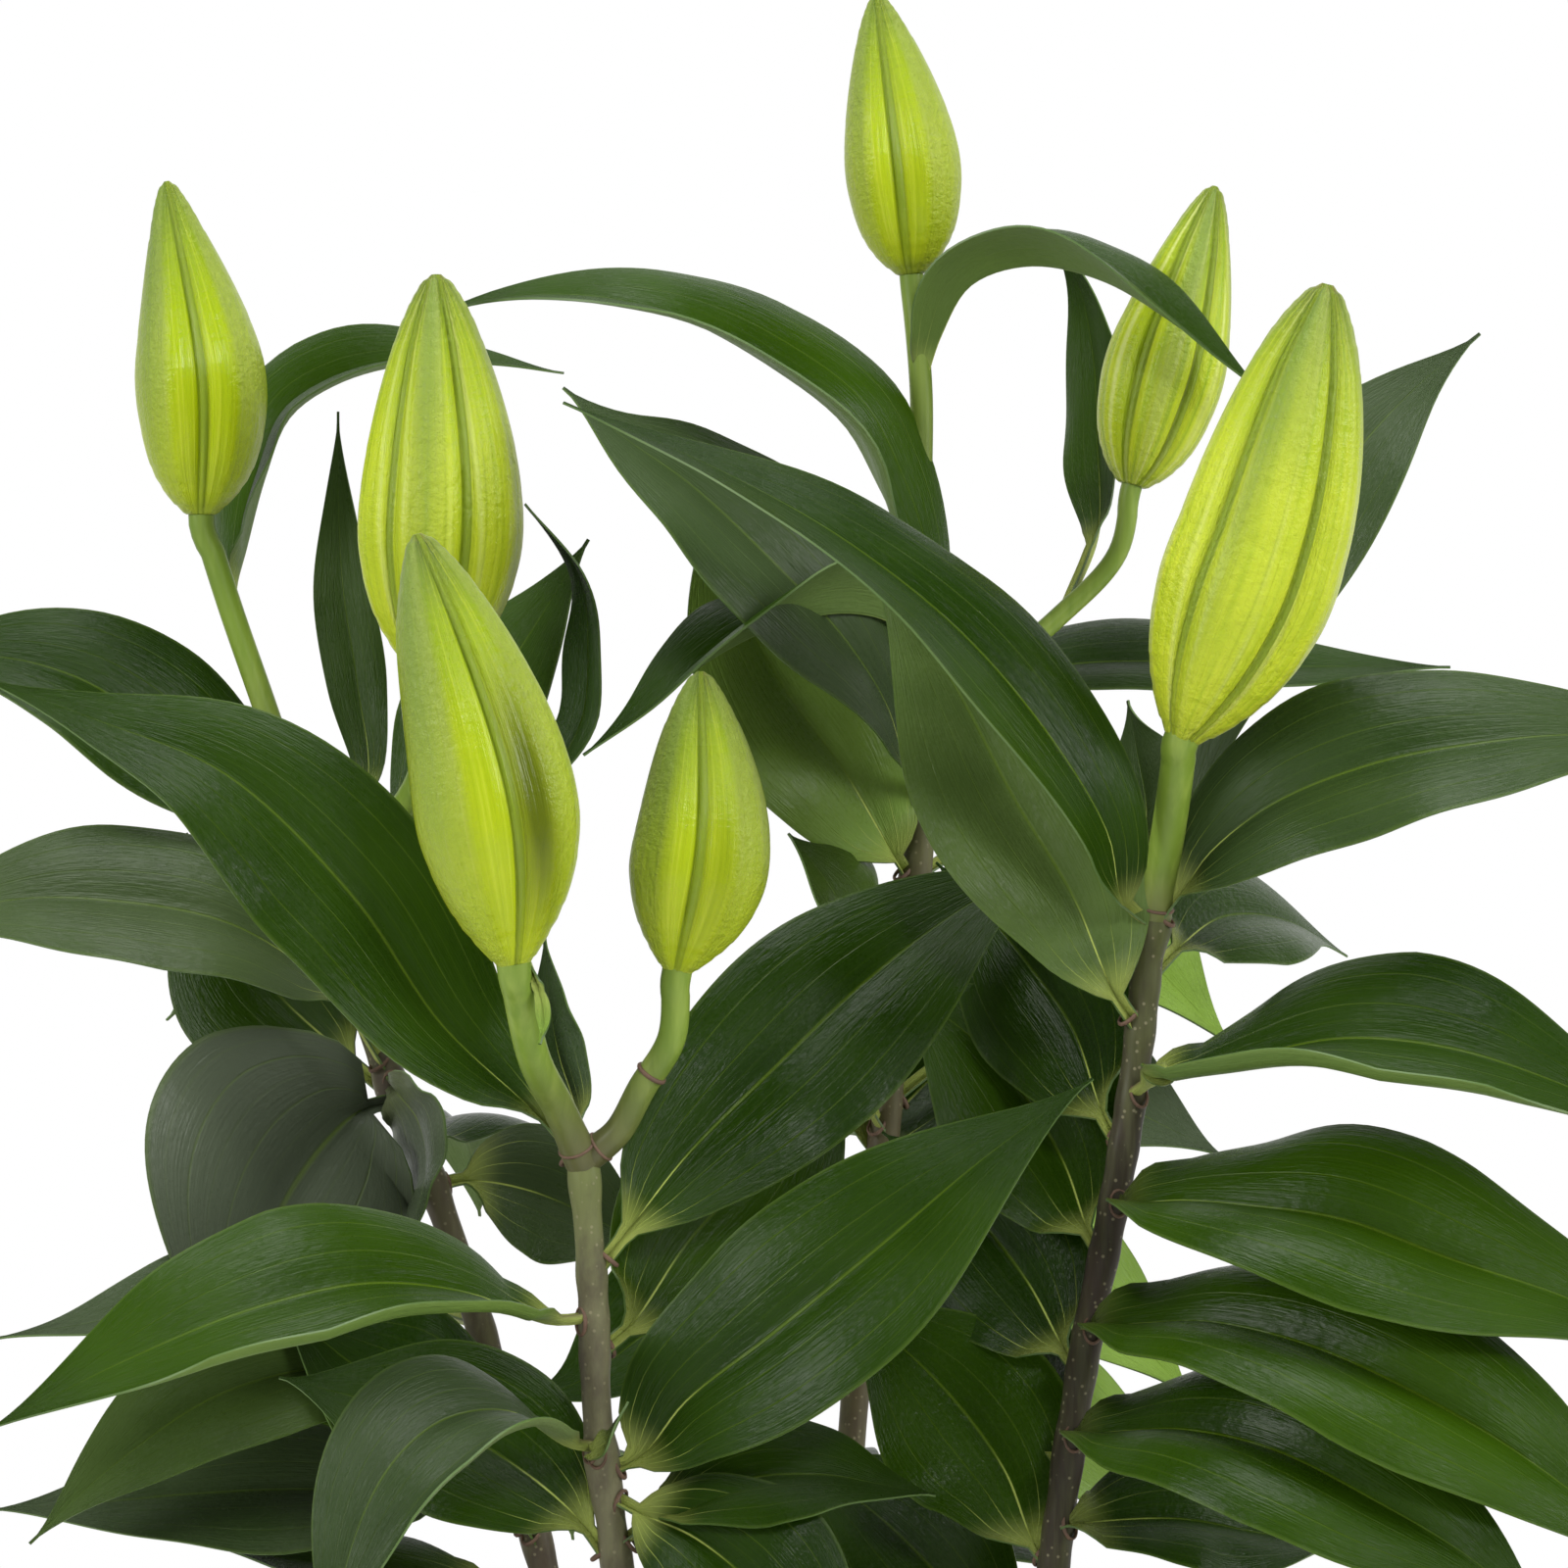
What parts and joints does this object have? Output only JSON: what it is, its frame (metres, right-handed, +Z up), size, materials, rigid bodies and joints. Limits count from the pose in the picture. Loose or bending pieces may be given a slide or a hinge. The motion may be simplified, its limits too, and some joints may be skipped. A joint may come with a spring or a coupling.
{
  "type": "potted lily",
  "caption": "Potted lily in bud: tall leafy stems with closed yellow-green flower buds on short stalks, standing in a plain round tapered pot of soil.",
  "frame": {"origin": "centre of the pot's flat underside, which is what the part stands on", "axes": "+Z up along the pot's axis and the stems; -Y is the side that the plant is seen from in the reference view; +X to the right from there"},
  "size_m": [0.3892, 0.2408, 0.6215],
  "materials": {
    "pot": "matte terracotta-coloured moulded plastic",
    "soil": "loose dark bark and peat potting mix",
    "foliage": "waxy deep green leaves, paler below, on olive and purple-brown stems",
    "bud": "satin yellow-green with fine lengthwise ribs"
  },
  "bodies": {
    "root": {"pot": "pot", "soil": "soil", "stem_front_left": "foliage", "stem_front_right": "foliage", "stem_back_middle": "foliage", "stem_back_left": "foliage", "bud_1": "bud", "bud_2": "bud", "bud_3": "bud", "bud_4": "bud", "bud_5": "bud", "bud_6": "bud", "bud_7": "bud"}
  },
  "joints": []
}
